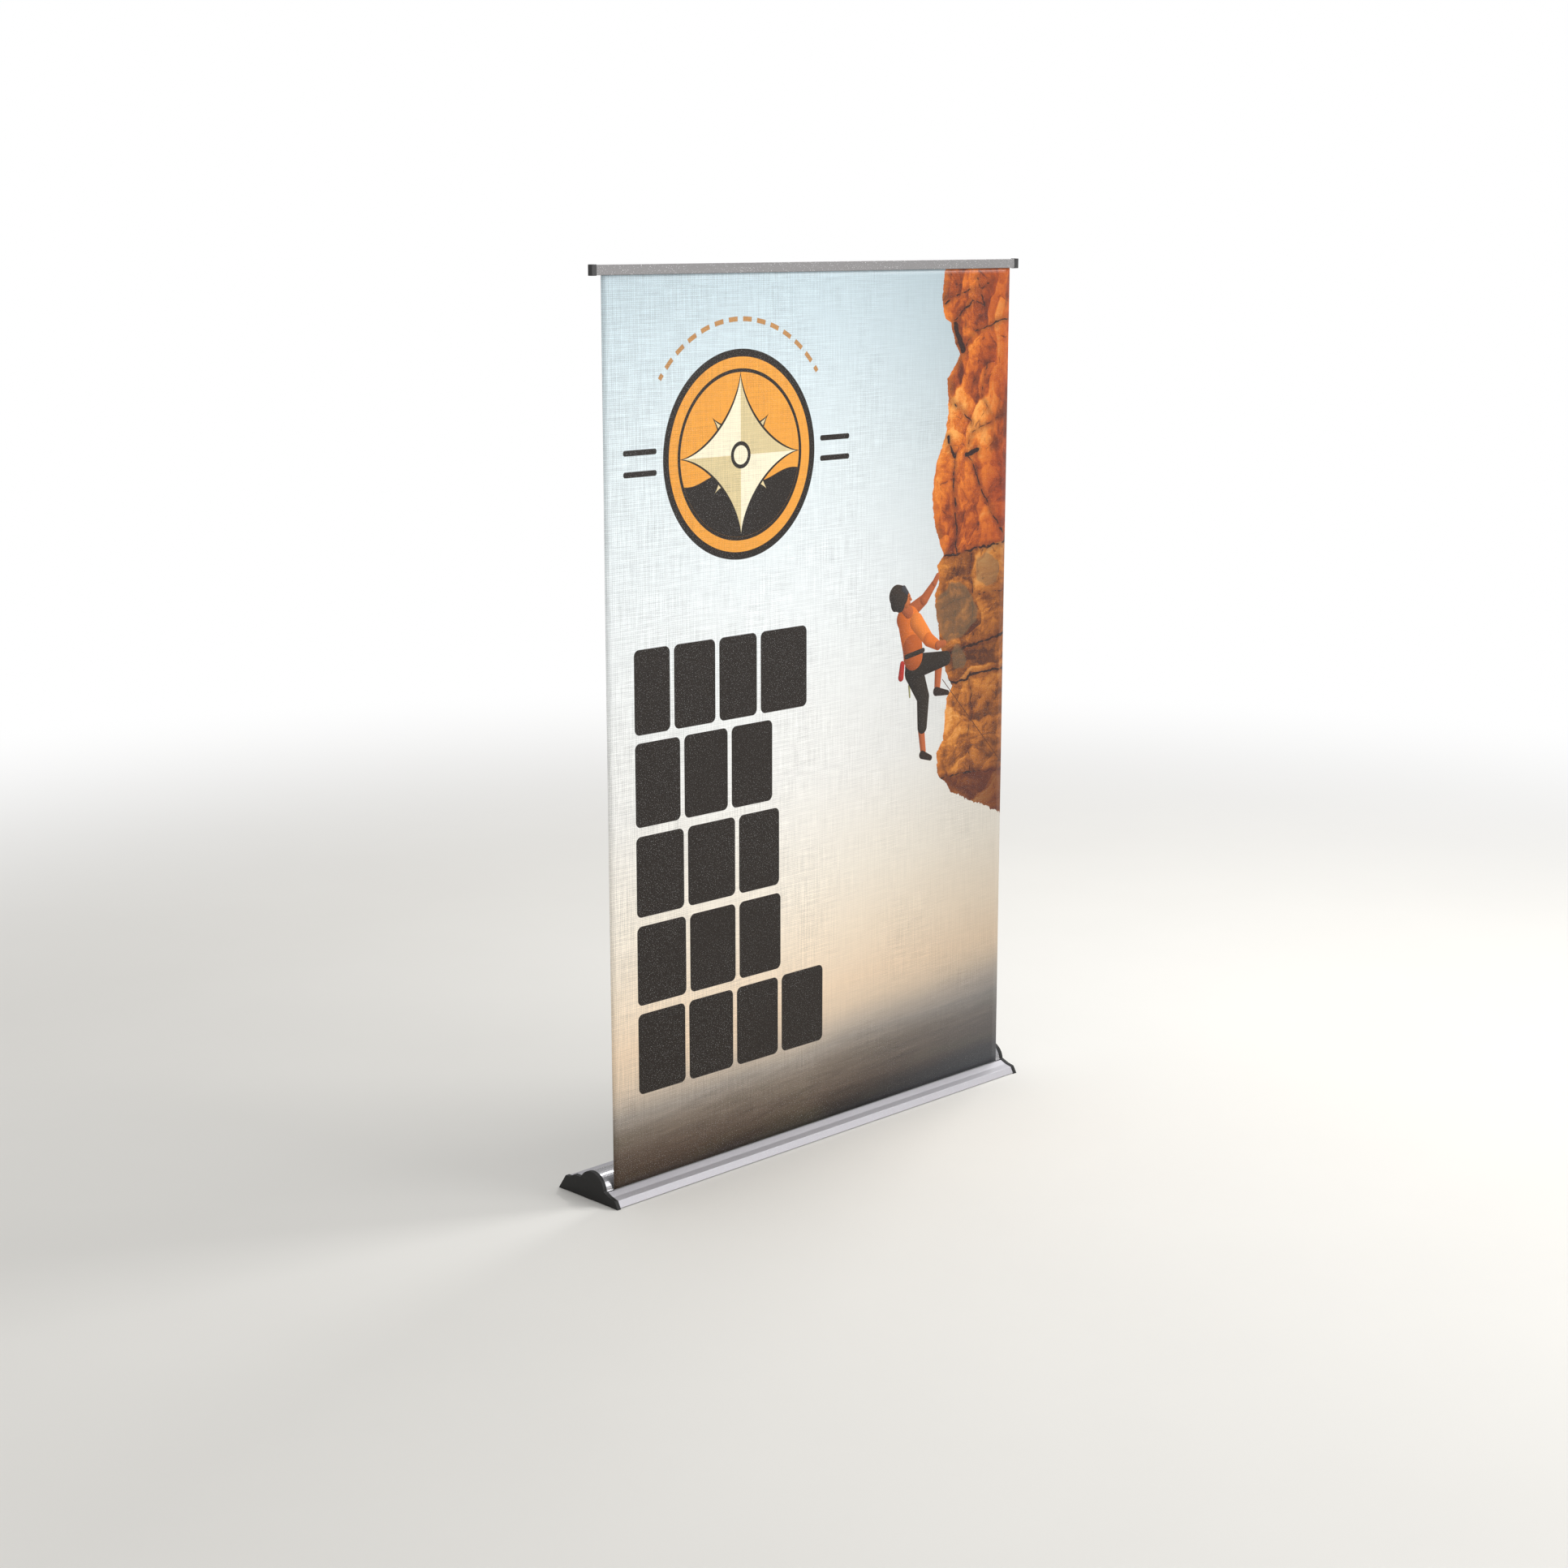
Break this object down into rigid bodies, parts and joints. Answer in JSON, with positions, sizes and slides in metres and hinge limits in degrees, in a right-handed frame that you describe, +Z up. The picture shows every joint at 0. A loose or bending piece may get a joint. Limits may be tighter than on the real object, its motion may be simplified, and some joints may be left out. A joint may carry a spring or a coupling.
{
  "type": "roll-up banner stand",
  "caption": "Roll-up banner stand: low aluminium base with a spring roller, printed banner, hanging rail and a telescopic rear pole.",
  "frame": {"origin": "middle of the footprint, on the surface the stand rests on", "axes": "+X along the banner's width, to the right as seen from the front; +Y towards the back, so the printed side faces -Y; +Z up"},
  "size_m": [1.54, 0.2284, 2.325],
  "materials": {
    "base_aluminium": "satin anodised",
    "cover_aluminium": "satin anodised",
    "rail_aluminium": "fine bead-blasted, anodised",
    "pole_aluminium": "satin anodised",
    "roller_aluminium": "mill finish",
    "cap_plastic": "fine-textured, near black",
    "fitting_plastic": "moulded, satin",
    "lever_plastic": "moulded, satin",
    "drive_plastic": "moulded, natural grey",
    "steel": "zinc plated",
    "spring_steel": "oiled",
    "foot_rubber": "matt",
    "banner_print": "printed polyester canvas, slight sheen, pale grey back",
    "hem_plastic": "extruded strip"
  },
  "bodies": {
    "base": {"base_extrusion": "base_aluminium", "hump_cover": "cover_aluminium", "end_cap_left": "cap_plastic", "end_cap_right": "cap_plastic", "end_plate_left": "steel", "end_plate_right": "steel", "toe_screw_left": "steel", "toe_screw_right": "steel", "heel_screw_left": "steel", "heel_screw_right": "steel", "top_screw_left": "steel", "top_screw_right": "steel", "rubber_foot_front_left": "foot_rubber", "rubber_foot_front_right": "foot_rubber", "rubber_foot_rear_left": "foot_rubber", "rubber_foot_rear_right": "foot_rubber", "idler_pin": "steel", "spring_spindle": "steel", "spring_hub": "drive_plastic", "torsion_spring": "spring_steel", "pole_socket": "fitting_plastic", "pole_foot_plug": "fitting_plastic", "pole_lower_tube": "pole_aluminium", "lower_clamp_collar": "fitting_plastic", "lower_lever_pin": "steel", "banner_sheet": "banner_print"},
    "roller": {"roller_tube": "roller_aluminium", "roller_plug_left": "drive_plastic", "roller_plug_right": "drive_plastic", "banner_roll": "banner_print", "spring_anchor": "drive_plastic"},
    "pole_middle": {"pole_middle_tube": "pole_aluminium", "middle_tube_plug": "fitting_plastic", "upper_clamp_collar": "fitting_plastic", "upper_lever_pin": "steel"},
    "pole_top": {"pole_top_tube": "pole_aluminium", "top_tube_plug": "fitting_plastic", "pole_head": "fitting_plastic", "top_rail": "rail_aluminium", "rail_cap_left": "cap_plastic", "rail_cap_right": "cap_plastic", "banner_hem_strip": "hem_plastic"},
    "lower_lever": {"lower_clamp_lever": "lever_plastic"},
    "upper_lever": {"upper_clamp_lever": "lever_plastic"}
  },
  "joints": [
    {"name": "pole_extension", "type": "slide", "parent": "base", "child": "pole_middle", "axis": [0, -0.0386, 0.9993], "range_m": [-0.62, 0], "deforming": ["banner_sheet"]},
    {"name": "pole_top_extension", "type": "slide", "parent": "pole_middle", "child": "pole_top", "axis": [0, -0.0386, 0.9993], "range_m": [-0.62, 0]},
    {"name": "roller_spin", "type": "hinge", "parent": "base", "child": "roller", "pos_m": [0, -0.01464, 0.03], "axis": [1, 0, 0], "range_deg": [0, 3180]},
    {"name": "lower_lever_flip", "type": "hinge", "parent": "base", "child": "lower_lever", "pos_m": [0, 0.03113, 0.89119], "axis": [1, 0, 0], "range_deg": [0, 115]},
    {"name": "upper_lever_flip", "type": "hinge", "parent": "pole_middle", "child": "upper_lever", "pos_m": [0, 0.00294, 1.58191], "axis": [1, 0, 0], "range_deg": [0, 115]}
  ],
  "couplings": [
    {"joint": "pole_top_extension", "follows": "pole_extension", "ratio": 1},
    {"joint": "roller_spin", "follows": "pole_extension", "rad_per_m": -89.5}
  ]
}
